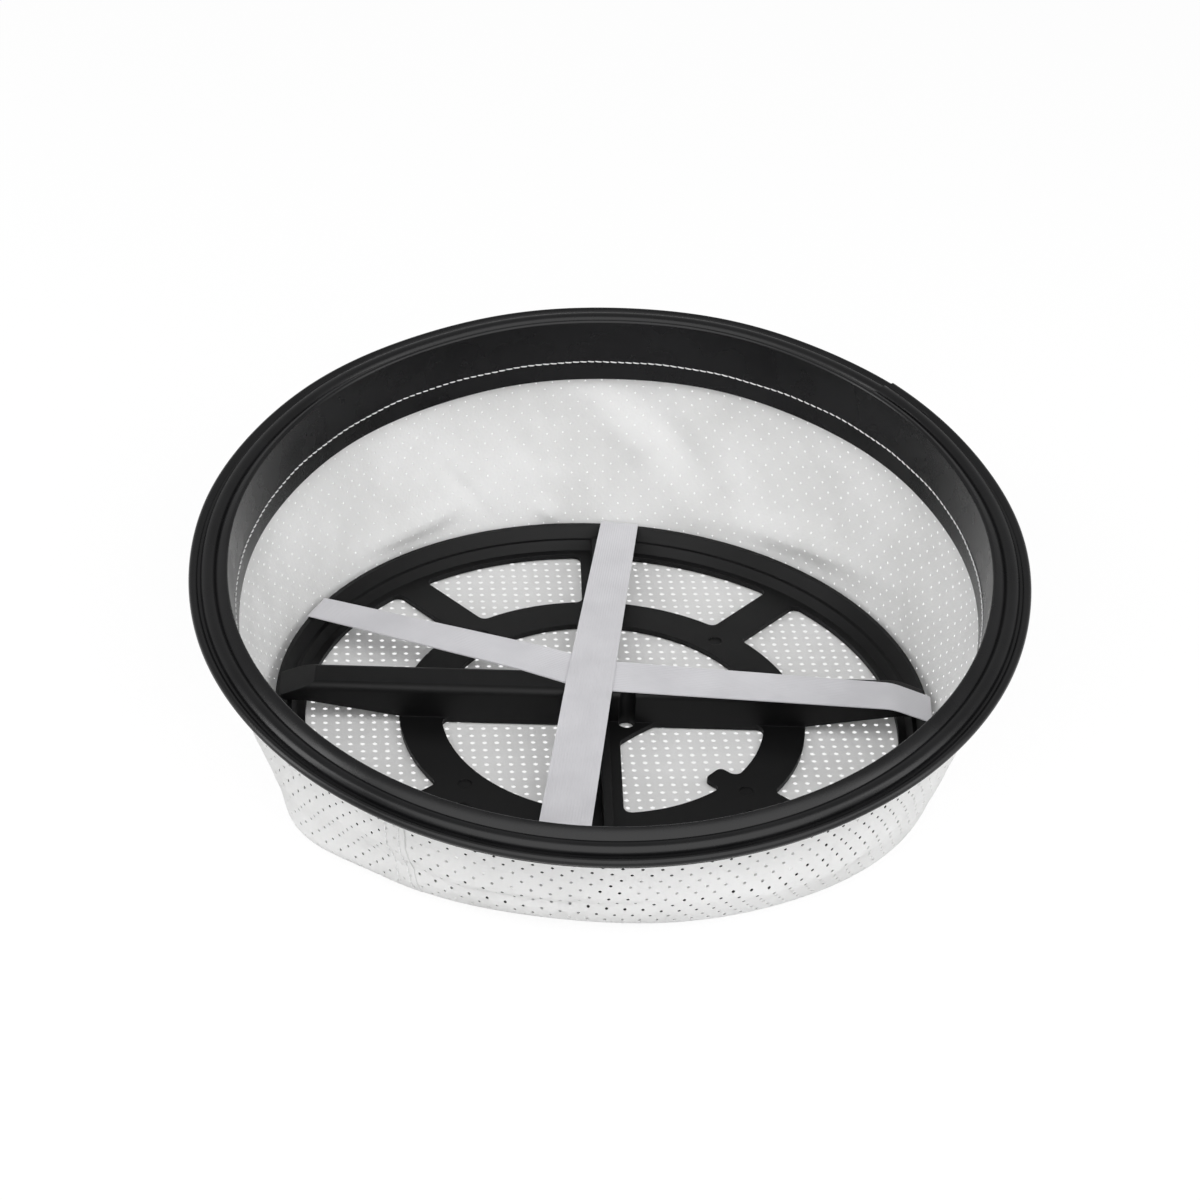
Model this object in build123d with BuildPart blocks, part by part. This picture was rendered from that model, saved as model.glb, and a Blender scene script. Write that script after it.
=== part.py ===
from build123d import *
import os
from math import cos, degrees, exp, pi, radians, sin, sqrt, tan

# Round bag filter for a drum vacuum cleaner, in millimetres, +Z up.
# The origin is the middle of the bag's base, on the surface that the bag stands on.
# The bag has sagged a little at the front (-Y), so its rim leans forward.

# Rim seal: a moulded strip, bent round and welded, whose widest circle lies in the rim plane
rim_radius = 152.5
rim_height = 71.0
rim_shift_x = -0.9
rim_shift_y = 2.5
rim_front_angle = 8.4
rim_side_angle = 1.55
bead_radius = 1.6
groove_width = 0.9
groove_floor = 0.3
band_width = 5.6
band_height = 3.0
notch_height = 1.7
lip_width = 4.6
lip_height = 4.5
lip_crest = 1.2
seat_depth = 3.0
skirt_depth = 22.5
skirt_taper = 2.6
skirt_wall = 1.6
weld_angle = 46.0
weld_length = 9.0
weld_step = 0.6

# Cloth bag
cloth = 1.2
base_radius = 125.5
base_corner = 9.0
hem = 2.5
sewn_overlap = 14.5
cloth_gap = 0.15
skirt_room = 0.5
side_angle = 20.0
sag_bulge = 1.6
crease_depth = 1.2
crease_count = 7
crease_angle = 40.0
spread_fade = 1.6
section_points = 40
corner_steps = 3
# Where the slack bag spreads on the table: angle round it, half-width in degrees, and reach
bag_spreads = ((205, 40, 1.2), (219, 10, 6.3), (232, 22, 3.2), (-33, 24, 4.3))

# Support frame
frame_angle = 3.5
plate = 2.2
land_width = 5.0
foot_gap = 0.5
edge_room = 2.3
edge_height = 8.0
edge_wall = 1.8
ledge_height = 3.5
ledge_width = 1.5
inner_ring_radius = 60.5
inner_ring_width = 15.5
spoke_width = 12.0
diagonal_width = 13.5
far_diagonal_angle = 48.5
near_diagonal_angle = 41.5
window_corner = 3.0
rib_width = 3.5
rib_height = 5.0
crossbar_width = 15.0
crossbar_offset = 3.0
crossbar_height = 13.3
crossbar_round = 3.0
crossbar_lift = 6.0
crossbar_end = 13.0
gusset_long = 19.0
gusset_short = 12.0
gusset_corner = 6.0
hub_hole_radius = 3.0
hub_hole_x = 8.7
hub_hole_y = -5.0
tab_width = 9.0
tab_length = 8.0
tab_round = 2.0
mark_radius = 2.6
mark_depth = 0.5

# Tapes
tape = 0.5
tape_width = 19.0
tape_end_height = 7.5
tape_fold = 0.9
tape_lift = 0.4
long_tape_angle = 86.3
long_tape_x = -5.6
crossing_x = -5.2
crossing_y = 6.0
crossing_flat = 16.0
left_tape_angle = 157.4
left_tape_flat = 24.0
right_tape_angle = 1.9

# Sizes that follow from those above
corner_radius_in_plan = base_radius - base_corner
frame_foot_radius = corner_radius_in_plan - foot_gap
land_radius = frame_foot_radius - land_width
edge_radius = base_radius - cloth - edge_room
inner_ring_outer = inner_ring_radius + inner_ring_width
edge_top = cloth + plate + edge_height
bar_top = cloth + plate + crossbar_height
bead_middle = rim_radius - bead_radius
groove_radius = rim_radius - 2 * bead_radius
band_radius = groove_radius - groove_width
notch_radius = band_radius - band_width
lip_radius = notch_radius - lip_width
skirt_radius = lip_radius - skirt_taper
skirt_outside = skirt_radius + skirt_wall
skirt_slope = skirt_taper / (skirt_depth + lip_height - lip_crest)
collar_inside = skirt_outside + skirt_room
collar_outside = collar_inside + cloth

rim_plane = Plane(Location((rim_shift_x, rim_shift_y, rim_height), (rim_front_angle, -rim_side_angle, 0)))
rim_axis = Axis(rim_plane.origin, rim_plane.z_dir)
frame_plane = Plane(Location((0, 0, cloth), (0, 0, frame_angle)))


def upright(origin, direction):
    """A vertical plane along a level direction, with its second axis up."""
    return Plane(origin=origin, x_dir=direction, z_dir=direction.cross(Vector(0, 0, 1)))


def rim_section_plane(angle):
    """The plane through the rim's axis at an angle round it, with its second axis along that axis."""
    outward = rim_plane.x_dir.rotate(Axis((0, 0, 0), rim_plane.z_dir), angle)
    return Plane(origin=rim_plane.origin, x_dir=outward, z_dir=outward.cross(rim_plane.z_dir))


# Rim seal, with the lump of its welded joint on the bead
with BuildPart() as seal_ring:
    seat_inside = skirt_outside + skirt_slope * (skirt_depth - seat_depth)
    band_middle = (band_radius + notch_radius) / 2
    crest_inset = lip_crest * (1 - cos(pi / 4))
    with BuildSketch(rim_section_plane(weld_angle)):
        with BuildLine():
            RadiusArc((bead_middle, -bead_radius), (bead_middle, bead_radius), -bead_radius)
            Line((bead_middle, bead_radius), (groove_radius, groove_floor))
            Line((groove_radius, groove_floor), (band_radius, groove_floor))
            ThreePointArc(
                (band_radius, groove_floor),
                (band_middle, band_height),
                (notch_radius, notch_height),
            )
            Line((notch_radius, notch_height), (lip_radius + lip_crest, lip_height))
            ThreePointArc(
                (lip_radius + lip_crest, lip_height),
                (lip_radius + crest_inset, lip_height - crest_inset),
                (lip_radius, lip_height - lip_crest),
            )
            Line((lip_radius, lip_height - lip_crest), (skirt_radius, -skirt_depth))
            Line((skirt_radius, -skirt_depth), (skirt_outside, -skirt_depth))
            Line((skirt_outside, -skirt_depth), (seat_inside, -seat_depth))
            Line((seat_inside, -seat_depth), (bead_middle, -seat_depth))
            Line((bead_middle, -seat_depth), (bead_middle, -bead_radius))
        make_face()
    revolve(axis=rim_axis)
    weld_turn = degrees(weld_length / rim_radius)
    with BuildSketch(rim_section_plane(weld_angle - weld_turn)):
        with Locations((bead_middle, 0)):
            Circle(bead_radius + weld_step)
    revolve(axis=rim_axis, revolution_arc=weld_turn)


def spread(angle):
    """How far the slack bag spreads on the table at an angle round it."""
    reach = 0
    for middle, width, most in bag_spreads:
        turn = (angle - middle + 180) % 360 - 180
        reach += most * exp(-((turn / width) ** 2))
    return reach


def cloth_section(plane, radius, spread_share, slack):
    """Section of the bag: a circle that spreads where the bag does, and sags, most at the front."""
    points = []
    for step in range(section_points):
        angle = 360 * step / section_points
        front = (1 - sin(radians(angle))) / 2
        crease = crease_depth * cos(radians(crease_count * angle + crease_angle))
        reach = radius + spread_share * spread(angle) + slack * front * (sag_bulge + crease)
        points.append((reach * cos(radians(angle)), reach * sin(radians(angle))))
    with BuildSketch(plane) as section:
        with BuildLine():
            Spline(*points, periodic=True)
        make_face()
    return section.sketch.face()


def corner_sections(inset):
    """Sections up the bag's rounded corner, set in by a distance from its outside."""
    corner = base_corner - inset
    sections = []
    for step in range(corner_steps + 1):
        bend = radians((90 - side_angle) * step / corner_steps)
        level = Plane.XY.offset(base_corner - corner * cos(bend))
        sections.append(cloth_section(level, corner_radius_in_plan + corner * sin(bend), 1, 0))
    return sections


def side_sections(inset, low_section):
    """Sections up the bag's side, from the top of its corner to the round edge of the skirt."""
    corner = base_corner - inset
    low_radius = corner_radius_in_plan + corner * cos(radians(side_angle))
    low_height = base_corner - corner * sin(radians(side_angle))
    top_radius = collar_outside - inset
    skirt_edge = rim_plane.offset(-skirt_depth)
    half_way = (Vector(0, 0, low_height) + skirt_edge.origin) / 2
    half_plane = Plane(Location(tuple(half_way), (rim_front_angle / 2, -rim_side_angle / 2, 0)))
    half_section = cloth_section(half_plane, (low_radius + top_radius) / 2, 0.5**spread_fade, 1)
    with BuildSketch(skirt_edge) as top:
        Circle(top_radius)
    return [low_section, half_section, top.sketch.face()]


# Side of the bag: hem and rounded corner, sagging side, and the collar sewn round the skirt
with BuildPart() as filter_wall:
    for inset, mode in ((0, Mode.ADD), (cloth, Mode.SUBTRACT)):
        corner = corner_sections(inset)
        loft(corner, mode=mode)
        loft(side_sections(inset, corner[-1]), mode=mode)
    with BuildSketch():
        Circle(corner_radius_in_plan - hem)
    extrude(amount=cloth, mode=Mode.SUBTRACT)
    collar_flare = skirt_slope * sewn_overlap
    with BuildSketch(rim_section_plane(0)):
        with BuildLine():
            Polyline(
                (collar_inside, -skirt_depth),
                (collar_outside, -skirt_depth),
                (collar_outside + collar_flare, sewn_overlap - skirt_depth),
                (collar_inside + collar_flare, sewn_overlap - skirt_depth),
                close=True,
            )
        make_face()
    revolve(axis=rim_axis)

# Bottom of the bag, sewn to the hem
with BuildPart() as filter_base:
    with BuildSketch():
        Circle(corner_radius_in_plan - hem - cloth_gap)
    extrude(amount=cloth)

spoke_angles = (90, -90)
diagonal_angles = (
    far_diagonal_angle,
    180 - far_diagonal_angle,
    180 + near_diagonal_angle,
    -near_diagonal_angle,
)

# Openings of the support frame, in plan
with BuildSketch() as windows:
    Circle(land_radius)
    Circle(inner_ring_outer, mode=Mode.SUBTRACT)
    for angle in diagonal_angles:
        Rectangle(
            land_radius + land_width,
            diagonal_width,
            rotation=angle,
            align=(Align.MIN, Align.CENTER),
            mode=Mode.SUBTRACT,
        )
    Circle(inner_ring_radius)
    with Locations((0, crossbar_offset)):
        Rectangle(2 * inner_ring_radius, crossbar_width, mode=Mode.SUBTRACT)
    for angle in spoke_angles:
        Rectangle(
            land_radius + land_width,
            spoke_width,
            rotation=angle,
            align=(Align.MIN, Align.CENTER),
            mode=Mode.SUBTRACT,
        )
    with BuildLine():
        bar_side = crossbar_offset - crossbar_width / 2
        Polyline(
            (0, bar_side),
            (gusset_long, bar_side),
            (gusset_short, bar_side - gusset_corner),
            (spoke_width / 2, bar_side - gusset_short),
            (0, bar_side - gusset_short),
            close=True,
        )
    make_face(mode=Mode.SUBTRACT)
    with PolarLocations(inner_ring_radius, 1, start_angle=-near_diagonal_angle):
        RectangleRounded(2 * tab_length, tab_width, tab_round, mode=Mode.SUBTRACT)
    offset(amount=-window_corner)
    offset(amount=window_corner)

# Raised crossbar: a round-topped section, cut to a side view that rises from the inner ring to the edge
with BuildPart() as crossbar:
    bar_middle = frame_plane.from_local_coords((0, crossbar_offset, 0))
    bar_reach = sqrt((edge_radius - edge_wall / 2) ** 2 - (crossbar_offset + crossbar_width / 2) ** 2)
    with BuildSketch(upright(bar_middle, frame_plane.y_dir)) as bar_section:
        Rectangle(crossbar_width, plate + crossbar_height, align=(Align.CENTER, Align.MIN))
        fillet(bar_section.vertices().group_by(Axis.Y)[-1], radius=crossbar_round)
    extrude(amount=bar_reach, both=True)
    with BuildSketch(upright(bar_middle, frame_plane.x_dir)):
        with BuildLine():
            Polyline(
                (0, 0),
                (inner_ring_outer, 0),
                (inner_ring_outer, plate),
                (land_radius, plate + crossbar_lift),
                (bar_reach, plate + crossbar_lift),
                (bar_reach, plate + edge_height),
                (bar_reach - crossbar_end, plate + crossbar_height),
                (0, plate + crossbar_height),
                close=True,
            )
        make_face()
        mirror(about=Plane.YZ)
    extrude(amount=crossbar_width, both=True, mode=Mode.INTERSECT)

# Support frame: pierced plate, upstanding edge with a ledge, spoke ribs and the crossbar
with BuildPart() as support_frame:
    with BuildSketch(frame_plane):
        Circle(frame_foot_radius)
        add(windows.sketch_local, mode=Mode.SUBTRACT)
    extrude(amount=plate)
    with BuildSketch(upright(frame_plane.origin, frame_plane.x_dir)):
        with BuildLine():
            edge_flare = (edge_radius - frame_foot_radius) / (plate + edge_height)
            ledge_outside = frame_foot_radius + edge_flare * (plate + ledge_height) - edge_wall
            ledge_inside = ledge_outside - ledge_width
            Polyline(
                (land_radius, 0),
                (frame_foot_radius, 0),
                (edge_radius, plate + edge_height),
                (edge_radius - edge_wall, plate + edge_height),
                (ledge_outside, plate + ledge_height),
                (ledge_inside, plate + ledge_height),
                (ledge_inside - edge_flare * ledge_height, plate),
                (land_radius, plate),
                close=True,
            )
        make_face()
    revolve(axis=Axis.Z)
    with BuildSketch(frame_plane):
        Rectangle(rib_width, 2 * (land_radius + land_width))
    extrude(amount=plate + rib_height)
    add(crossbar.part)
    with Locations(frame_plane.location * Location((hub_hole_x, hub_hole_y, plate))):
        Hole(hub_hole_radius)
    ring_middle = inner_ring_radius + inner_ring_width / 2
    for angle in diagonal_angles:
        spot = Location((0, 0, plate), (0, 0, angle)) * Location((ring_middle, 0, 0))
        with Locations(frame_plane.location * spot):
            Hole(mark_radius, depth=mark_depth)


def tape_side(plane, points):
    """Side view of a tape, on an upright plane, that follows points on its underside."""
    with BuildSketch(plane) as side:
        with BuildLine():
            FilletPolyline(*points, radius=tape_fold)
            offset(amount=tape, side=Side.LEFT)
        make_face()
    return side.sketch


def chord(distance):
    """Where a straight line at a distance from the middle passes outside the frame's edge."""
    return sqrt((edge_radius + tape_lift) ** 2 - distance**2)


# Tape from the back of the bag to the front
with BuildPart() as long_tape:
    long_direction = Vector(cos(radians(long_tape_angle)), sin(radians(long_tape_angle)), 0)
    long_reach = chord(long_tape_x * sin(radians(long_tape_angle)))
    along_middle = long_tape_x * cos(radians(long_tape_angle))
    flat_height = bar_top + tape
    long_line = [
        (-long_reach - along_middle, tape_end_height),
        (-long_reach - along_middle, edge_top + tape_lift),
        (crossing_y - crossing_flat, flat_height),
        (crossing_y + crossing_flat, flat_height),
        (long_reach - along_middle, edge_top + tape_lift),
        (long_reach - along_middle, tape_end_height),
    ]
    long_side = tape_side(upright(Vector(long_tape_x, 0, 0), long_direction), long_line)
    extrude(long_side, amount=tape_width / 2, both=True)


def cross_run(angle):
    """From the crossing of the tapes to outside the frame's edge: the direction and the distance."""
    run_end = Vector(cos(radians(angle)), sin(radians(angle)), 0) * (edge_radius + tape_lift)
    run = run_end - Vector(crossing_x, crossing_y, 0)
    return run.normalized(), run.length


# Tape from left to right, lying on the crossbar and bent where the long tape crosses it
with BuildPart() as cross_tape:
    left_direction, left_reach = cross_run(left_tape_angle)
    right_direction, right_reach = cross_run(right_tape_angle)
    mitre = tape_width / 2 * tan(radians(left_direction.get_angle(-right_direction) / 2))
    right_tape_flat = bar_reach - crossbar_end - crossing_x
    for direction, reach, flat in (
        (left_direction, left_reach, left_tape_flat),
        (right_direction, right_reach, right_tape_flat),
    ):
        run_line = [
            (-mitre, bar_top),
            (flat, bar_top),
            (reach, edge_top + tape_lift),
            (reach, tape_end_height),
        ]
        run_side = tape_side(upright(Vector(crossing_x, crossing_y, 0), direction), run_line)
        extrude(run_side, amount=tape_width / 2, both=True)

seal_ring.part.label = "seal_ring"
filter_wall.part.label = "filter_wall"
filter_base.part.label = "filter_base"
support_frame.part.label = "support_frame"
long_tape.part.label = "long_tape"
cross_tape.part.label = "cross_tape"

os.makedirs("parts", exist_ok=True)
export_step(seal_ring.part, "parts/seal_ring.step")
export_step(filter_wall.part, "parts/filter_wall.step")
export_step(filter_base.part, "parts/filter_base.step")
export_step(support_frame.part, "parts/support_frame.step")
export_step(long_tape.part, "parts/long_tape.step")
export_step(cross_tape.part, "parts/cross_tape.step")
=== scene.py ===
from math import ceil, cos, exp, hypot, pi, radians, sin, sqrt, tan

import bmesh
import bpy
import numpy as np
from mathutils import Matrix, Vector, noise
from mathutils.geometry import delaunay_2d_cdt


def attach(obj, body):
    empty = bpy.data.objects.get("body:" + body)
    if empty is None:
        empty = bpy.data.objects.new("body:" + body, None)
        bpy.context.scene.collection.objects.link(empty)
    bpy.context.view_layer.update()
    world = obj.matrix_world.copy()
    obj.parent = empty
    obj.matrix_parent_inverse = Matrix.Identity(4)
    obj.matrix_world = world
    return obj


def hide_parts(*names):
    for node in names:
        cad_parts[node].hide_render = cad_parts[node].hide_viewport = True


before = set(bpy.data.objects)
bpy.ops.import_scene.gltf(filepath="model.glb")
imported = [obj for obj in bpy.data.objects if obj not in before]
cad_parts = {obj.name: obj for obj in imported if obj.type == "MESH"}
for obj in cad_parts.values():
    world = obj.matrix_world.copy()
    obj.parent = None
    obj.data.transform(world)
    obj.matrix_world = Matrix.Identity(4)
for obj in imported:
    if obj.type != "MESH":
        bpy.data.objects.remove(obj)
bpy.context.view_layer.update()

# Looks of the round bag filter, in metres, in the frame of the solids

# Rim seal
RIM_CENTRE = (-0.0009, 0.0025, 0.071)
RIM_LEAN_FRONT = radians(8.4)
RIM_LEAN_SIDE = radians(1.55)
RIM_RADIUS = 0.1525
BEAD_RADIUS = 0.0016
GROOVE_WIDTH = 0.0009
GROOVE_FLOOR = 0.0003
BAND_WIDTH = 0.0056
BAND_HEIGHT = 0.0030
NOTCH_HEIGHT = 0.0017
LIP_WIDTH = 0.0046
LIP_HEIGHT = 0.0045
LIP_CREST = 0.0012
SEAT_DEPTH = 0.0030
SKIRT_DEPTH = 0.0225
SKIRT_TAPER = 0.0026
SKIRT_WALL = 0.0016
SKIRT_ROOM = 0.0005
WELD_ANGLE = radians(46)
WELD_STEP = 0.0006
WELD_FADE = 0.02
WELD_EDGE = 0.0002
RIM_WAVER = 0.0001
RIM_SEGMENTS = 480

# Cloth bag
CLOTH = 0.0012
CLOTH_SHOWN = 0.00014
CLOTH_GAP = 0.00015
BASE_RADIUS = 0.1255
BASE_CORNER = 0.009
HEM = 0.0025
SEWN_OVERLAP = 0.0145
SIDE_SLOPE = radians(20)
SAG_BULGE = 0.0016
CREASE_DEPTH = 0.0012
CREASE_COUNT = 7
CREASE_START = radians(40)
SEAM_ANGLE = radians(-122)
SEAM_LAP = 0.010
LAP_STEP = 0.0003
HOLE_PITCH = 0.0045
WALL_HOLE_RADIUS = 0.0005
WALL_HOLE_STRETCH = 0.00013
WALL_STRETCH_ANGLE = radians(-60)
BASE_HOLE_RADIUS = 0.00095
HOLE_SIDES = 6
EDGE_SPACING = 0.003
WALL_WEAVE_TURN = radians(42)
BASE_WEAVE_TURN = radians(7)
# Places where the slack bag spreads on the table: angle, half-width round the bag and reach
BULGES = (
    (radians(205), radians(40), 0.0012),
    (radians(219), radians(10), 0.0063),
    (radians(232), radians(22), 0.0032),
    (radians(-33), radians(24), 0.0043),
)
SPREAD_FADE = 1.6
# The corner is pressed rounder at the front
PRESS_ANGLE = radians(-95)
PRESS_WIDTH = radians(16)
PRESS_DEPTH = 0.0018
# Soft folds: angle, level from corner to skirt, half-width round the bag, half-height, reach and slant
FOLDS = (
    (radians(102), 0.13, radians(2.2), 0.07, -0.0032, 0.3),
    (radians(129), 0.22, radians(9), 0.08, -0.0040, -0.3),
    (radians(53), 0.23, radians(13), 0.085, -0.0046, -0.45),
    (radians(88), 0.60, radians(10), 0.16, -0.0024, 2.0),
    (radians(80), 0.60, radians(9), 0.15, 0.0020, 2.0),
    (radians(118), 0.36, radians(4), 0.07, 0.0018, 2.4),
    (radians(150), 0.40, radians(7), 0.30, -0.0018, 0.9),
    (radians(30), 0.45, radians(14), 0.22, -0.0018, 0.6),
    (radians(-98), 0.42, radians(14), 0.09, -0.0022, 0.0),
    (radians(-125), 0.30, radians(8), 0.25, -0.0020, 0.8),
    (radians(-140), 0.55, radians(9), 0.20, 0.0020, 0.5),
    (radians(-60), 0.45, radians(18), 0.18, 0.0014, -0.5),
)
RIPPLE = 0.0011

# Support frame and tapes
FRAME_PLATE = 0.0022
EDGE_ROOM = 0.0023
EDGE_HEIGHT = 0.008
CROSSBAR_HEIGHT = 0.0133
CROSSBAR_WIDTH = 0.015
CROSSBAR_OFFSET = 0.003
CROSSBAR_END = 0.013
EDGE_WALL = 0.0018
TAPE = 0.0005
TAPE_WIDTH = 0.019
TAPE_RIBS = 17
TAPE_RELIEF = 0.00006
# How much of its width each tape keeps towards its sewn ends
LONG_TAPE_KEPT = (1.0, 0.92, 0.79)
CROSS_TAPE_KEPT = (0.72, 1.0, 0.87)
TAPE_END_HEIGHT = 0.0075
TAPE_FOLD = 0.0009
TAPE_LIFT = 0.0004
LONG_TAPE_ANGLE = radians(86.3)
LONG_TAPE_X = -0.0056
CROSSING = (-0.0052, 0.006)
CROSSING_FLAT = 0.016
LEFT_TAPE_ANGLE = radians(157.4)
LEFT_TAPE_FLAT = 0.024
RIGHT_TAPE_ANGLE = radians(1.9)

# Sewing
STITCH = 0.003
STITCH_GAP = 0.0003
STITCH_SLANT = 0.00014
THREAD = 0.00027
SKIRT_STITCH_RISE = 0.0083

# Camera
CAMERA_PLACE = (-0.0037, -0.9324, 0.6701)
CAMERA_DROP = radians(33.43)
CAMERA_ROLL = radians(3.6)
CAMERA_LENS = 91.68
CAMERA_SENSOR = 36.0

# Sizes that follow from those above
GROOVE_RADIUS = RIM_RADIUS - 2 * BEAD_RADIUS
BAND_RADIUS = GROOVE_RADIUS - GROOVE_WIDTH
NOTCH_RADIUS = BAND_RADIUS - BAND_WIDTH
LIP_RADIUS = NOTCH_RADIUS - LIP_WIDTH
SKIRT_RADIUS = LIP_RADIUS - SKIRT_TAPER
SKIRT_OUTSIDE = SKIRT_RADIUS + SKIRT_WALL
SKIRT_SLOPE = SKIRT_TAPER / (SKIRT_DEPTH + LIP_HEIGHT - LIP_CREST)
COLLAR_RADIUS = SKIRT_OUTSIDE + SKIRT_ROOM + CLOTH / 2
CORNER_PLAN = BASE_RADIUS - BASE_CORNER
EDGE_RADIUS = BASE_RADIUS - CLOTH - EDGE_ROOM
EDGE_TOP = CLOTH + FRAME_PLATE + EDGE_HEIGHT
BAR_TOP = CLOTH + FRAME_PLATE + CROSSBAR_HEIGHT
RIM_MATRIX = (
    Matrix.Translation(RIM_CENTRE)
    @ Matrix.Rotation(RIM_LEAN_FRONT, 4, "X")
    @ Matrix.Rotation(-RIM_LEAN_SIDE, 4, "Y")
)
RIM_NORMAL = np.array(RIM_MATRIX.to_3x3() @ Vector((0, 0, 1)))


def mesh_object(name, points, faces, sharp_angle=None):
    """A smooth-shaded object from points and faces, with edges over an angle kept sharp."""
    mesh = bpy.data.meshes.new(name)
    mesh.from_pydata([tuple(p) for p in points], [], [tuple(int(i) for i in f) for f in faces])
    mesh.validate()
    shape = bmesh.new()
    shape.from_mesh(mesh)
    bmesh.ops.recalc_face_normals(shape, faces=shape.faces)
    for face in shape.faces:
        face.smooth = True
    if sharp_angle is not None:
        for edge in shape.edges:
            if len(edge.link_faces) == 2 and edge.calc_face_angle() > sharp_angle:
                edge.smooth = False
    shape.to_mesh(mesh)
    shape.free()
    made = bpy.data.objects.new(name, mesh)
    bpy.context.scene.collection.objects.link(made)
    return made


def rim_points(radius, angle, level):
    """Points on a circle round the rim's axis, at a level along it."""
    radius, angle, level = np.broadcast_arrays(radius, angle, level)
    local = np.stack([radius * np.cos(angle), radius * np.sin(angle), level], axis=-1)
    turn = np.array(RIM_MATRIX.to_3x3())
    return local @ turn.T + np.array(RIM_CENTRE)


# Profiles


def arc_through(start, middle, end, steps):
    """Points of the arc through three points, from the first up to the last."""
    (ax, ay), (bx, by), (cx, cy) = start, middle, end
    d = 2 * (ax * (by - cy) + bx * (cy - ay) + cx * (ay - by))
    a2, b2, c2 = ax * ax + ay * ay, bx * bx + by * by, cx * cx + cy * cy
    ux = (a2 * (by - cy) + b2 * (cy - ay) + c2 * (ay - by)) / d
    uy = (a2 * (cx - bx) + b2 * (ax - cx) + c2 * (bx - ax)) / d
    first = np.arctan2(ay - uy, ax - ux)
    turn = np.unwrap([first, np.arctan2(by - uy, bx - ux), np.arctan2(cy - uy, cx - ux)])
    radius = hypot(ax - ux, ay - uy)
    angles = np.linspace(turn[0], turn[2], steps + 1)
    return [(ux + radius * cos(a), uy + radius * sin(a)) for a in angles]


def rounded(points, radii, steps=4, closed=True):
    """A line of points with its corners rounded, each by its own radius."""
    points = [Vector(p) for p in points]
    count = len(points)
    made = []
    for k, (point, radius) in enumerate(zip(points, radii)):
        at_end = not closed and k in (0, count - 1)
        if at_end or radius <= 0:
            made.append(point)
            continue
        before = (points[k - 1] - point).normalized()
        after = (points[(k + 1) % count] - point).normalized()
        half = before.angle(after) / 2
        reach = radius / tan(half)
        start, end = point + before * reach, point + after * reach
        for step in range(steps + 1):
            t = step / steps
            made.append(start * (1 - t) ** 2 + point * 2 * t * (1 - t) + end * t**2)
    return made


def rim_profile():
    """The rim strip's section, as (radius, level) points: bead, groove, band, lip, skirt and seat."""
    bead_middle = RIM_RADIUS - BEAD_RADIUS
    bead = arc_through((bead_middle, -BEAD_RADIUS), (RIM_RADIUS, 0), (bead_middle, BEAD_RADIUS), 14)
    band_middle = ((BAND_RADIUS + NOTCH_RADIUS) / 2, BAND_HEIGHT)
    band = arc_through((BAND_RADIUS, GROOVE_FLOOR), band_middle, (NOTCH_RADIUS, NOTCH_HEIGHT), 14)
    inset = LIP_CREST * (1 - cos(pi / 4))
    crest = arc_through(
        (LIP_RADIUS + LIP_CREST, LIP_HEIGHT),
        (LIP_RADIUS + inset, LIP_HEIGHT - inset),
        (LIP_RADIUS, LIP_HEIGHT - LIP_CREST),
        7,
    )
    seat_inside = SKIRT_OUTSIDE + SKIRT_SLOPE * (SKIRT_DEPTH - SEAT_DEPTH)
    edge = 0.0005
    corners = [(p, 0) for p in bead]
    corners += [((GROOVE_RADIUS, GROOVE_FLOOR), 0.0002)]
    corners += [(p, 0) for p in band]
    corners += [(p, 0) for p in crest]
    corners += [
        ((SKIRT_RADIUS, -SKIRT_DEPTH), edge),
        ((SKIRT_OUTSIDE, -SKIRT_DEPTH), edge),
        ((seat_inside, -SEAT_DEPTH), edge),
        ((bead_middle, -SEAT_DEPTH), edge),
    ]
    return rounded([c[0] for c in corners], [c[1] for c in corners])


def make_rim():
    """The rim seal, turned round its axis, with the small step of its welded joint."""
    profile = np.array([tuple(p) for p in rim_profile()])
    along = np.roll(profile, -1, axis=0) - np.roll(profile, 1, axis=0)
    outward = np.stack([along[:, 1], -along[:, 0]], axis=1)
    outward /= np.linalg.norm(outward, axis=1)[:, None]
    on_top = (profile[:, 0] > NOTCH_RADIUS) & (profile[:, 1] > -SEAT_DEPTH)
    turns = np.linspace(0, 2 * pi, RIM_SEGMENTS, endpoint=False)
    turns = np.append(turns, 2 * pi - WELD_EDGE / RIM_RADIUS)
    points = []
    for turn in turns:
        angle = WELD_ANGLE + turn
        step = WELD_STEP * exp((turn - 2 * pi) * RIM_RADIUS / WELD_FADE)
        waver = RIM_WAVER * (sin(5 * angle + 1) + sin(11 * angle))
        section = profile + outward * (step * on_top)[:, None] + waver
        points.append(rim_points(section[:, 0], angle, section[:, 1]))
    count, ring = len(profile), len(turns)
    faces = []
    for a in range(ring):
        b = (a + 1) % ring
        for k in range(count):
            n = (k + 1) % count
            faces.append((a * count + k, b * count + k, b * count + n, a * count + n))
    return mesh_object("rim_seal", np.concatenate(points), faces, radians(50))


# Cloth


def thick_sheet(name, points, normals, faces, thickness):
    """A sheet with two faces and closed edges, from the points and normals of its middle."""
    points, normals = np.asarray(points), np.asarray(normals)
    count = len(points)
    both = np.concatenate([points + normals * thickness / 2, points - normals * thickness / 2])
    sides = {}
    for face in faces:
        for a, b in zip(face, face[1:] + face[:1]):
            if (b, a) in sides:
                del sides[(b, a)]
            else:
                sides[(a, b)] = True
    made = [tuple(f) for f in faces]
    made += [tuple(i + count for i in reversed(f)) for f in faces]
    made += [(b, a, a + count, b + count) for a, b in sides]
    return mesh_object(name, both, made, radians(50))


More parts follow.
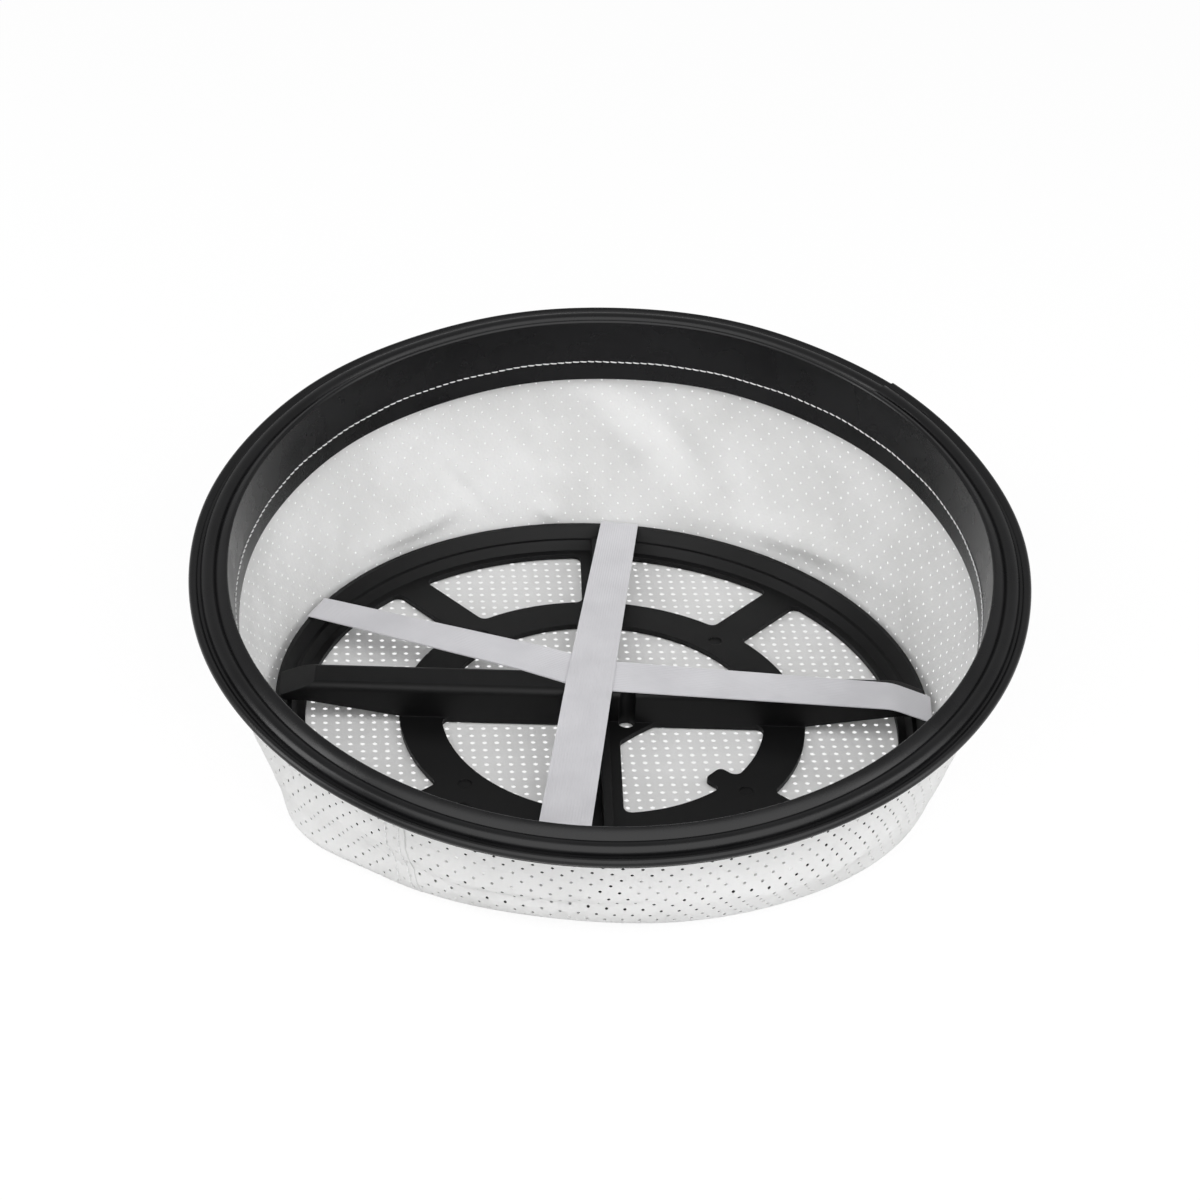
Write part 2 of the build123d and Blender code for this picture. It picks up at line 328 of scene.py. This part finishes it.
def lattice(turn, reach):
    """Places of a square lattice of holes, turned, within a reach of its middle."""
    steps = int(ceil(reach / HOLE_PITCH)) + 1
    k = np.arange(-steps, steps + 1)
    u, v = np.meshgrid(k * HOLE_PITCH, k * HOLE_PITCH)
    c, s = cos(turn), sin(turn)
    return np.stack([(u * c - v * s).ravel(), (u * s + v * c).ravel()], axis=1)


def perforate(outline, holes, radii, fillers):
    """Triangles of a flat shape with round holes: its points and faces."""
    points = [tuple(p) for p in outline]
    edges = [(k, (k + 1) % len(outline)) for k in range(len(outline))]
    owner = [-1] * len(points)
    for number, ((x, y), radius) in enumerate(zip(holes, radii)):
        first = len(points)
        for k in range(HOLE_SIDES):
            angle = 2 * pi * (k + 0.5) / HOLE_SIDES
            points.append((x + radius * cos(angle), y + radius * sin(angle)))
            edges.append((first + k, first + (k + 1) % HOLE_SIDES))
            owner.append(number)
    points += [tuple(p) for p in fillers]
    owner += [-1] * len(fillers)
    flat, _, faces, source, _, _ = delaunay_2d_cdt([Vector(p) for p in points], edges, [], 0, 1e-7)
    owners = [owner[s[0]] if s else -1 for s in source]
    kept = []
    for face in faces:
        owning = {owners[i] for i in face}
        if len(owning) == 1 and owning != {-1}:
            continue
        kept.append(tuple(face))
    return np.array([tuple(p) for p in flat]), kept


def side_ends(angle):
    """The two ends of the bag's free side at an angle round it, and its directions there."""
    out = np.stack([np.cos(angle), np.sin(angle), np.zeros_like(angle)], axis=-1)
    up = np.array([0, 0, 1.0])
    corner = BASE_CORNER - CLOTH / 2
    low = out * (CORNER_PLAN + corner * cos(SIDE_SLOPE)) + up * (BASE_CORNER - corner * sin(SIDE_SLOPE))
    low_way = out * sin(SIDE_SLOPE) + up * cos(SIDE_SLOPE)
    top = rim_points(COLLAR_RADIUS, angle, -SKIRT_DEPTH)
    higher = rim_points(COLLAR_RADIUS + SKIRT_SLOPE * SEWN_OVERLAP, angle, SEWN_OVERLAP - SKIRT_DEPTH)
    top_way = higher - top
    top_way /= np.linalg.norm(top_way, axis=-1)[..., None]
    return low, low_way, top, top_way


CORNER_LENGTH = (BASE_CORNER - CLOTH / 2) * (pi / 2 - SIDE_SLOPE)
SIDE_FROM = HEM + CORNER_LENGTH
WALL_REFERENCE = (BASE_RADIUS + COLLAR_RADIUS) / 2
WALL_AROUND = 2 * pi * WALL_REFERENCE + SEAM_LAP


def side_length(angle):
    low, _, top, _ = side_ends(angle)
    return np.linalg.norm(top - low, axis=-1)


def turn_from(angle, centre):
    """The angle from a centre, between minus and plus half a turn."""
    return (angle - centre + pi) % (2 * pi) - pi


def spread(angle):
    """How far the slack bag spreads on the table at an angle round it."""
    return sum(reach * np.exp(-((turn_from(angle, at) / width) ** 2)) for at, width, reach in BULGES)


def slack(angle, level):
    """How far the bag's side stands out of its smooth form, from its corner (0) to the skirt (1)."""
    free = 4 * level * (1 - level)
    front = (1 - np.sin(angle)) / 2
    crease = CREASE_DEPTH * np.cos(CREASE_COUNT * angle + CREASE_START)
    out = free * front * (SAG_BULGE + crease) + (1 - level) ** SPREAD_FADE * spread(angle)
    for at, height, width, tall, reach, slant in FOLDS:
        round_bag = turn_from(angle, at) / width
        up_bag = (level - height - slant * tall * np.clip(round_bag, -2, 2)) / tall
        out = out + reach * np.exp(-(round_bag**2) - up_bag**2) * np.sqrt(np.clip(free, 0, 1))
    soft = [
        noise.noise((7 * cos(a), 7 * sin(a), 2.5 * t)) + 0.5 * noise.noise((17 * cos(a), 17 * sin(a), 6 * t))
        for a, t in zip(angle, level)
    ]
    return out + free * RIPPLE * np.array(soft)


def wall_middle(angle, along, lap):
    """Points of the middle of the bag's wall, by angle and by distance along the cloth from its hem."""
    low, low_way, top, top_way = side_ends(angle)
    out = np.stack([np.cos(angle), np.sin(angle), np.zeros_like(angle)], axis=-1)
    up = np.array([0, 0, 1.0])
    length = side_length(angle)
    corner = BASE_CORNER - CLOTH / 2
    # hem on the base
    hem = out * (CORNER_PLAN - HEM + along)[:, None] + up * CLOTH / 2
    # rounded corner
    bend = np.clip(along - HEM, 0, CORNER_LENGTH) / corner
    laid = np.clip((along - HEM) / (CORNER_LENGTH / 2), 0, 1)
    press = PRESS_DEPTH * np.exp(-((turn_from(angle, PRESS_ANGLE) / PRESS_WIDTH) ** 2))
    press = press * np.sin(pi * bend * corner / CORNER_LENGTH)
    across = CORNER_PLAN + corner * np.sin(bend) + spread(angle) * laid * (2 - laid) - press
    curve = out * across[:, None] + up * (BASE_CORNER - corner * np.cos(bend))[:, None]
    # free side
    level = np.clip((along - SIDE_FROM) / length, 0, 1)
    t = level[:, None]
    pull = 0.3 * length[:, None]
    side = (
        low * (1 - t) ** 3
        + (low + low_way * pull) * 3 * t * (1 - t) ** 2
        + (top - top_way * pull) * 3 * t**2 * (1 - t)
        + top * t**3
    )
    side = side + out * slack(angle, level)[:, None]
    # collar sewn round the skirt
    collar = top + top_way * np.clip(along - SIDE_FROM - length, 0, None)[:, None]
    made = np.where((along < HEM)[:, None], hem, curve)
    made = np.where((along > SIDE_FROM)[:, None], side, made)
    made = np.where((along > SIDE_FROM + length)[:, None], collar, made)
    return made + out * lap[:, None]


def wall_angle(x):
    return SEAM_ANGLE + x / WALL_REFERENCE


def wall_height(x):
    """How tall the flat band of the wall is, at a place along it."""
    return SIDE_FROM + side_length(wall_angle(np.asarray(x))) + SEWN_OVERLAP


def wall_place(x, y):
    """Where the flat band lies on the bag: its end laps over its start at the seam."""
    lap = LAP_STEP * np.clip((x - WALL_AROUND) / SEAM_LAP + 2, 0, 1)
    return wall_middle(wall_angle(x), y, lap)


def wall_normal(x, y):
    """The outward direction of the bag's wall."""
    nudge = 0.0004
    by_x = wall_place(x + nudge, y) - wall_place(x - nudge, y)
    by_y = wall_place(x, y + nudge) - wall_place(x, y - nudge)
    normal = np.cross(by_x, by_y)
    return normal / np.linalg.norm(normal, axis=1)[:, None]


def wall_sheet():
    """The bag's wall: one perforated band of cloth, lapped at its seam."""
    across = np.linspace(0, WALL_AROUND, int(WALL_AROUND / EDGE_SPACING))
    talls = [float(wall_height(x)) for x in (0, WALL_AROUND)]
    ends = [np.linspace(0, tall, int(tall / EDGE_SPACING))[1:-1] for tall in talls]
    outline = [(x, 0) for x in across]
    outline += [(WALL_AROUND, y) for y in ends[1]]
    outline += [(x, wall_height(x)) for x in across[::-1]]
    outline += [(0, y) for y in ends[0][::-1]]

    def inside(places):
        x, y = places[:, 0], places[:, 1]
        room = 2.2 * WALL_HOLE_RADIUS
        kept = (x > room) & (x < WALL_AROUND - room) & (y > room) & (y < wall_height(x) - room)
        return places[kept]

    places = lattice(WALL_WEAVE_TURN, WALL_AROUND * 0.75) + np.array([WALL_AROUND / 2, SIDE_FROM])
    holes = inside(places)
    stretch = np.cos(wall_angle(holes[:, 0]) - WALL_STRETCH_ANGLE)
    radii = WALL_HOLE_RADIUS + WALL_HOLE_STRETCH * stretch
    one = np.array([cos(WALL_WEAVE_TURN), sin(WALL_WEAVE_TURN)]) * HOLE_PITCH
    other = np.array([-one[1], one[0]])
    fillers = np.concatenate([inside(places + shift / 2) for shift in (one, other, one + other)])
    flat, faces = perforate(outline, holes, radii, fillers)
    centres = np.array([flat[list(face)].mean(axis=0) for face in faces])
    low_enough = centres[:, 1] < wall_height(centres[:, 0])
    faces = [face for face, kept in zip(faces, low_enough) if kept]
    x, y = flat[:, 0], flat[:, 1]
    return thick_sheet("bag_wall", wall_place(x, y), wall_normal(x, y), faces, CLOTH_SHOWN)


def base_sheet():
    """The bag's base: a perforated disc that lies under the frame."""
    radius = CORNER_PLAN - HEM - CLOTH_GAP
    steps = 240
    outline = [(radius * cos(2 * pi * k / steps), radius * sin(2 * pi * k / steps)) for k in range(steps)]
    places = lattice(BASE_WEAVE_TURN, radius)
    within = radius - 2.2 * BASE_HOLE_RADIUS
    holes = places[np.hypot(places[:, 0], places[:, 1]) < within]
    shifted = places + HOLE_PITCH / 2
    fillers = shifted[np.hypot(shifted[:, 0], shifted[:, 1]) < within]
    flat, faces = perforate(outline, holes, [BASE_HOLE_RADIUS] * len(holes), fillers)
    points = np.concatenate([flat, np.full((len(flat), 1), CLOTH / 2)], axis=1)
    normals = np.tile([0, 0, 1.0], (len(flat), 1))
    return thick_sheet("bag_base", points, normals, faces, CLOTH_SHOWN)


# Tapes


def ribbon(name, centre, across, kept):
    """A ribbon with fine lengthwise ribs, along its middle line, gathered in towards its ends."""
    centre, across = np.array(centre), np.array(across)
    along = np.gradient(centre, axis=0)
    along /= np.linalg.norm(along, axis=1)[:, None]
    normal = np.cross(across, along)
    normal /= np.linalg.norm(normal, axis=1)[:, None]
    run = np.linalg.norm(centre - centre[0], axis=1)
    width = TAPE_WIDTH * np.interp(run / run[-1], (0, 0.5, 1), kept)
    columns = 4 * TAPE_RIBS
    u = np.linspace(-0.5, 0.5, columns + 1)
    relief = TAPE / 2 - TAPE_RELIEF * (1 + np.cos(2 * pi * TAPE_RIBS * u))
    count = columns + 1
    middle = centre[:, None] + across[:, None] * (width[:, None] * u)[:, :, None]
    upper = middle + normal[:, None] * relief[None, :, None]
    lower = middle - normal[:, None] * relief[None, :, None]
    points = np.concatenate([upper.reshape(-1, 3), lower.reshape(-1, 3)])
    rows = len(centre)
    half = rows * count
    faces = []
    for r in range(rows - 1):
        for k in range(columns):
            a = r * count + k
            faces.append((a, a + 1, a + count + 1, a + count))
            faces.append((half + a, half + a + count, half + a + count + 1, half + a + 1))
        for k in (0, columns):
            a = r * count + k
            faces.append((a, a + count, half + a + count, half + a))
    for r in (0, rows - 1):
        for k in range(columns):
            a = r * count + k
            faces.append((a, a + 1, half + a + 1, half + a))
    return mesh_object(name, points, faces, radians(70))


def chord(distance):
    """Where a straight line at a distance from the middle passes outside the frame's edge."""
    return sqrt((EDGE_RADIUS + TAPE_LIFT) ** 2 - distance**2)


def even_line(points, spacing):
    """The points of a line, spaced evenly along it."""
    points = np.array([tuple(p) for p in points])
    steps = np.linalg.norm(np.diff(points, axis=0), axis=1)
    run = np.concatenate([[0], np.cumsum(steps)])
    count = int(run[-1] / spacing) + 1
    at = np.unique(np.concatenate([np.linspace(0, run[-1], count), run]))
    return np.stack([np.interp(at, run, points[:, k]) for k in range(points.shape[1])], axis=1)


def long_tape():
    way = np.array([cos(LONG_TAPE_ANGLE), sin(LONG_TAPE_ANGLE), 0])
    across = np.array([way[1], -way[0], 0])
    reach = chord(LONG_TAPE_X * sin(LONG_TAPE_ANGLE))
    middle = LONG_TAPE_X * cos(LONG_TAPE_ANGLE)
    flat_height = BAR_TOP + TAPE
    half = TAPE / 2
    line = [
        (-reach - middle - half, TAPE_END_HEIGHT),
        (-reach - middle - half, EDGE_TOP + TAPE_LIFT + half),
        (CROSSING[1] - CROSSING_FLAT, flat_height + half),
        (CROSSING[1] + CROSSING_FLAT, flat_height + half),
        (reach - middle + half, EDGE_TOP + TAPE_LIFT + half),
        (reach - middle + half, TAPE_END_HEIGHT),
    ]
    bend = TAPE_FOLD + half
    line = even_line(rounded(line, [0, bend, 0.02, 0.02, bend, 0], 6, closed=False), 0.003)
    origin = np.array([LONG_TAPE_X, 0, 0])
    centre = origin + line[:, :1] * way + line[:, 1:] * np.array([0, 0, 1])
    return ribbon("tape_long", centre, np.tile(across, (len(centre), 1)), LONG_TAPE_KEPT)


def cross_tape():
    crossing = np.array([CROSSING[0], CROSSING[1], 0])
    bar_reach = sqrt((EDGE_RADIUS - EDGE_WALL / 2) ** 2 - (CROSSBAR_OFFSET + CROSSBAR_WIDTH / 2) ** 2)
    half = TAPE / 2
    runs = []
    right_flat = bar_reach - CROSSBAR_END - CROSSING[0]
    for angle, flat in ((LEFT_TAPE_ANGLE, LEFT_TAPE_FLAT), (RIGHT_TAPE_ANGLE, right_flat)):
        end = np.array([cos(angle), sin(angle), 0]) * (EDGE_RADIUS + TAPE_LIFT)
        way = end - crossing
        reach = np.linalg.norm(way)
        way = way / reach
        line = [
            (0, BAR_TOP + half),
            (flat, BAR_TOP + half),
            (reach + half, EDGE_TOP + TAPE_LIFT + half),
            (reach + half, TAPE_END_HEIGHT),
        ]
        line = even_line(rounded(line, [0, 0.02, TAPE_FOLD + half, 0], 6, closed=False), 0.003)
        centre = crossing + line[:, :1] * way + line[:, 1:] * np.array([0, 0, 1])
        across = np.array([way[1], -way[0], 0])
        runs.append((centre, across))
    left, right = runs
    centre = np.concatenate([left[0][:0:-1], right[0]])
    share = np.concatenate([np.zeros(len(left[0]) - 1), np.ones(len(right[0]))])
    share = np.clip(np.convolve(np.pad(share, 4, mode="edge"), np.ones(9) / 9, mode="valid"), 0, 1)[:, None]
    across = -left[1] * (1 - share) + right[1] * share
    across /= np.linalg.norm(across, axis=1)[:, None]
    return ribbon("tape_cross", centre, across, CROSS_TAPE_KEPT)


# Sewing thread


def stitches(name, rows):
    """Rows of stitches of thread, each along a line with the directions that it stands out in."""
    sides, rings = 6, 7
    t = np.linspace(-1, 1, rings)
    arch = THREAD * (0.6 - 0.9 * t**4)
    girth = THREAD * (1 - 0.45 * t**4)
    turn = np.linspace(0, 2 * pi, sides, endpoint=False)
    points, faces = [], []
    for line, out in rows:
        run = np.concatenate([[0], np.cumsum(np.linalg.norm(np.diff(line, axis=0), axis=1))])
        count = int(run[-1] / STITCH)
        pitch = run[-1] / count
        for k in range(count):
            at = (k + 0.5) * pitch + t * (pitch - STITCH_GAP) / 2
            middle = np.stack([np.interp(at, run, line[:, a]) for a in range(3)], axis=1)
            lift = np.stack([np.interp(at, run, out[:, a]) for a in range(3)], axis=1)
            lift /= np.linalg.norm(lift, axis=1)[:, None]
            along = (middle[-1] - middle[0]) / np.linalg.norm(middle[-1] - middle[0])
            aside = np.cross(along, lift)
            middle = middle + lift * arch[:, None] + aside * (STITCH_SLANT * t)[:, None]
            first = len(points)
            for r in range(rings):
                ring = np.outer(np.cos(turn), aside[r]) + np.outer(np.sin(turn), lift[r])
                points.extend(middle[r] + ring * girth[r])
            for r in range(rings - 1):
                for s in range(sides):
                    n = (s + 1) % sides
                    a, b = first + r * sides, first + (r + 1) * sides
                    faces.append((a + s, a + n, b + n, b + s))
            faces.append(tuple(first + s for s in reversed(range(sides))))
            faces.append(tuple(first + (rings - 1) * sides + s for s in range(sides)))
    return mesh_object(name, points, faces, radians(70))


def skirt_rows():
    """The row of stitches round the skirt, which shows on its inside and on the cloth outside it."""
    angle = np.linspace(0, 2 * pi, 721)
    level = SKIRT_STITCH_RISE - SKIRT_DEPTH + 0.0002 * np.sin(9 * angle) * np.sin(23 * angle)
    axis = rim_points(0, angle, level)
    rise = SKIRT_SLOPE * (level + SKIRT_DEPTH)
    inside = rim_points(SKIRT_RADIUS + rise, angle, level)
    outside = rim_points(COLLAR_RADIUS + CLOTH_SHOWN / 2 + rise, angle, level)
    return [(inside, axis - inside), (outside, outside - axis)]


def seam_rows():
    """Two rows of stitches up the lapped seam, on the outside and on the inside."""
    rows = []
    for share in (0.25, 0.75):
        outer = WALL_AROUND - share * SEAM_LAP
        y = np.linspace(SIDE_FROM, float(wall_height(outer)), 60)
        for x, side in ((outer, 1), (outer - 2 * pi * WALL_REFERENCE, -1)):
            x = np.full_like(y, x)
            out = side * wall_normal(x, y)
            rows.append((wall_place(x, y) + out * CLOTH_SHOWN / 2, out))
    return rows


def base_rows():
    """The row of stitches that joins the base to the wall's hem, under the bag."""
    angle = np.linspace(0, 2 * pi, 721)
    radius = CORNER_PLAN - HEM / 2
    height = np.full_like(angle, (CLOTH - CLOTH_SHOWN) / 2)
    line = np.stack([radius * np.cos(angle), radius * np.sin(angle), height], axis=1)
    return [(line, np.tile([0, 0, -1.0], (len(line), 1)))]


# Materials


def new_material(name):
    """A material with its shader, its node tree and the object's own coordinates."""
    made = bpy.data.materials.new(name)
    made.use_nodes = True
    tree = made.node_tree
    shader = tree.nodes["Principled BSDF"]
    place = tree.nodes.new("ShaderNodeTexCoord").outputs["Object"]
    return made, tree, shader, place


def noise_texture(tree, place, scale, detail=4.0, stretch=(1, 1, 1)):
    mapping = tree.nodes.new("ShaderNodeMapping")
    mapping.inputs["Scale"].default_value = stretch
    tree.links.new(place, mapping.inputs["Vector"])
    texture = tree.nodes.new("ShaderNodeTexNoise")
    texture.inputs["Scale"].default_value = scale
    texture.inputs["Detail"].default_value = detail
    tree.links.new(mapping.outputs["Vector"], texture.inputs["Vector"])
    return texture.outputs["Fac"]


def colour_ramp(tree, value, low, high, low_at=0.35, high_at=0.65):
    ramp = tree.nodes.new("ShaderNodeValToRGB")
    ramp.color_ramp.elements[0].position = low_at
    ramp.color_ramp.elements[0].color = (*low, 1)
    ramp.color_ramp.elements[1].position = high_at
    ramp.color_ramp.elements[1].color = (*high, 1)
    tree.links.new(value, ramp.inputs["Fac"])
    return ramp.outputs["Color"]


def value_range(tree, value, low, high):
    made = tree.nodes.new("ShaderNodeMapRange")
    made.inputs["From Min"].default_value = 0.3
    made.inputs["From Max"].default_value = 0.7
    made.inputs["To Min"].default_value = low
    made.inputs["To Max"].default_value = high
    tree.links.new(value, made.inputs["Value"])
    return made.outputs["Result"]


def bump(tree, value, depth, normal=None):
    made = tree.nodes.new("ShaderNodeBump")
    made.inputs["Strength"].default_value = 1.0
    made.inputs["Distance"].default_value = depth
    tree.links.new(value, made.inputs["Height"])
    if normal is not None:
        tree.links.new(normal, made.inputs["Normal"])
    return made.outputs["Normal"]


def rubber_material():
    """Near-black moulded rubber with a satin skin."""
    made, tree, shader, place = new_material("rim_rubber")
    cloud = noise_texture(tree, place, 60)
    grain = noise_texture(tree, place, 2600, 2.0)
    colour = colour_ramp(tree, cloud, (0.0032, 0.0032, 0.0036), (0.0050, 0.0050, 0.0055))
    tree.links.new(colour, shader.inputs["Base Color"])
    tree.links.new(value_range(tree, cloud, 0.24, 0.31), shader.inputs["Roughness"])
    tree.links.new(bump(tree, grain, 0.00002), shader.inputs["Normal"])
    shader.inputs["Specular IOR Level"].default_value = 0.32
    return made


def plastic_material():
    """Black moulded plastic with a fine matt grain."""
    made, tree, shader, place = new_material("frame_plastic")
    cloud = noise_texture(tree, place, 45)
    grain = noise_texture(tree, place, 3200, 2.0)
    edge = tree.nodes.new("ShaderNodeBevel")
    edge.samples = 4
    edge.inputs["Radius"].default_value = 0.0005
    colour = colour_ramp(tree, cloud, (0.0020, 0.0020, 0.0022), (0.0034, 0.0034, 0.0036))
    tree.links.new(colour, shader.inputs["Base Color"])
    tree.links.new(value_range(tree, cloud, 0.42, 0.52), shader.inputs["Roughness"])
    tree.links.new(bump(tree, grain, 0.00002, edge.outputs["Normal"]), shader.inputs["Normal"])
    shader.inputs["Specular IOR Level"].default_value = 0.22
    return made


def cloth_material():
    """White non-woven cloth of pressed fibres."""
    made, tree, shader, place = new_material("filter_cloth")
    cloud = noise_texture(tree, place, 22)
    fibre = noise_texture(tree, place, 900, 6.0)
    colour = colour_ramp(tree, cloud, (0.80, 0.80, 0.795), (0.88, 0.88, 0.878))
    relief = bump(tree, fibre, 0.00012)
    tree.links.new(colour, shader.inputs["Base Color"])
    tree.links.new(value_range(tree, fibre, 0.75, 0.95), shader.inputs["Roughness"])
    tree.links.new(relief, shader.inputs["Normal"])
    shader.inputs["Specular IOR Level"].default_value = 0.25
    through = tree.nodes.new("ShaderNodeBsdfTranslucent")
    tree.links.new(colour, through.inputs["Color"])
    mix = tree.nodes.new("ShaderNodeMixShader")
    mix.inputs["Fac"].default_value = 0.3
    tree.links.new(shader.outputs["BSDF"], mix.inputs[1])
    tree.links.new(through.outputs["BSDF"], mix.inputs[2])
    tree.links.new(mix.outputs["Shader"], tree.nodes["Material Output"].inputs["Surface"])
    return made


def tape_material():
    """Satin ribbon, pale grey, with threads along it."""
    made, tree, shader, place = new_material("tape_satin")
    cloud = noise_texture(tree, place, 60)
    colour = colour_ramp(tree, cloud, (0.585, 0.58, 0.605), (0.64, 0.635, 0.66))
    tree.links.new(colour, shader.inputs["Base Color"])
    tree.links.new(value_range(tree, cloud, 0.42, 0.55), shader.inputs["Roughness"])
    shader.inputs["Sheen Weight"].default_value = 0.2
    return made


def thread_material():
    """Twisted white sewing thread."""
    made, tree, shader, place = new_material("sewing_thread")
    twist = noise_texture(tree, place, 2400, 2.0)
    colour = colour_ramp(tree, twist, (0.62, 0.62, 0.62), (0.82, 0.82, 0.82))
    tree.links.new(colour, shader.inputs["Base Color"])
    tree.links.new(bump(tree, twist, 0.00008), shader.inputs["Normal"])
    shader.inputs["Roughness"].default_value = 0.6
    return made


def floor_material():
    """A white table that shows white to the camera and keeps a soft shadow."""
    made = bpy.data.materials.new("white_table")
    made.use_nodes = True
    tree = made.node_tree
    tree.nodes.clear()
    output = tree.nodes.new("ShaderNodeOutputMaterial")
    diffuse = tree.nodes.new("ShaderNodeBsdfDiffuse")
    diffuse.inputs["Color"].default_value = (0.86, 0.86, 0.86, 1)
    glow = tree.nodes.new("ShaderNodeEmission")
    glow.inputs["Strength"].default_value = 1.03
    rays = tree.nodes.new("ShaderNodeLightPath")
    seen = None
    for kind in ("Is Camera Ray", "Is Glossy Ray", "Is Transmission Ray"):
        if seen is None:
            seen = rays.outputs[kind]
            continue
        either = tree.nodes.new("ShaderNodeMath")
        either.operation = "MAXIMUM"
        tree.links.new(seen, either.inputs[0])
        tree.links.new(rays.outputs[kind], either.inputs[1])
        seen = either.outputs["Value"]
    share = tree.nodes.new("ShaderNodeMath")
    share.operation = "MULTIPLY"
    share.inputs[1].default_value = 0.88
    tree.links.new(seen, share.inputs[0])
    mix = tree.nodes.new("ShaderNodeMixShader")
    tree.links.new(share.outputs["Value"], mix.inputs["Fac"])
    tree.links.new(diffuse.outputs["BSDF"], mix.inputs[1])
    tree.links.new(glow.outputs["Emission"], mix.inputs[2])
    tree.links.new(mix.outputs["Shader"], output.inputs["Surface"])
    return made


# Stage


def make_floor():
    size = 4.0
    corners = [(-size, -size, 0), (size, -size, 0), (size, size, 0), (-size, size, 0)]
    floor = mesh_object("table", corners, [(0, 1, 2, 3)])
    floor.data.materials.append(floor_material())


def soft_light(name, place, target, size, power):
    lamp = bpy.data.lights.new(name, "AREA")
    lamp.shape = "RECTANGLE"
    lamp.size, lamp.size_y = size
    lamp.energy = power
    made = bpy.data.objects.new(name, lamp)
    made.location = place
    made.rotation_euler = (Vector(target) - Vector(place)).to_track_quat("-Z", "Y").to_euler()
    bpy.context.scene.collection.objects.link(made)


def make_lights():
    middle = (0, 0, 0.04)
    soft_light("front_softbox", (0.2, -1.25, 1.25), middle, (3.6, 2.6), 52)
    soft_light("left_softbox", (-1.3, -0.3, 0.6), middle, (0.4, 1.2), 7)
    soft_light("right_softbox", (1.3, -0.3, 0.6), middle, (0.4, 1.2), 4)
    world = bpy.data.worlds.new("studio")
    world.use_nodes = True
    tree = world.node_tree
    background = tree.nodes["Background"]
    background.inputs["Color"].default_value = (1, 1, 1, 1)
    rays = tree.nodes.new("ShaderNodeLightPath")
    strength = tree.nodes.new("ShaderNodeMath")
    strength.operation = "MULTIPLY_ADD"
    strength.inputs[1].default_value = 0.2
    strength.inputs[2].default_value = 0.28
    tree.links.new(rays.outputs["Is Glossy Ray"], strength.inputs[0])
    tree.links.new(strength.outputs["Value"], background.inputs["Strength"])
    bpy.context.scene.world = world


def make_camera():
    lens = bpy.data.cameras.new("camera")
    lens.lens = CAMERA_LENS
    lens.sensor_width = CAMERA_SENSOR
    lens.sensor_fit = "HORIZONTAL"
    made = bpy.data.objects.new("camera", lens)
    made.matrix_world = (
        Matrix.Translation(CAMERA_PLACE)
        @ Matrix.Rotation(pi / 2 - CAMERA_DROP, 4, "X")
        @ Matrix.Rotation(CAMERA_ROLL, 4, "Z")
    )
    bpy.context.scene.collection.objects.link(made)
    bpy.context.scene.camera = made


def dress(piece, material, slot, *nodes):
    """Gives a piece its material, and puts it in place of solids."""
    piece.data.materials.append(material)
    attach(piece, "root")
    if nodes:
        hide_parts(*nodes)
    return piece


def main():
    cloth, thread, satin = cloth_material(), thread_material(), tape_material()
    rubber, plastic = rubber_material(), plastic_material()
    dress(make_rim(), rubber, "rim_rubber", "seal_ring")
    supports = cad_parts["support_frame"]
    supports.data.materials.clear()
    supports.data.materials.append(plastic)
    wall = dress(wall_sheet(), cloth, "filter_cloth", "filter_wall")
    base = dress(base_sheet(), cloth, "filter_cloth", "filter_base")
    long_piece = dress(long_tape(), satin, "tape_satin", "long_tape")
    cross_piece = dress(cross_tape(), satin, "tape_satin", "cross_tape")
    dress(stitches("sewing", skirt_rows() + seam_rows() + base_rows()), thread, "filter_cloth")
    make_floor()
    make_lights()
    make_camera()
    bpy.context.scene.view_settings.view_transform = "Standard"


main()
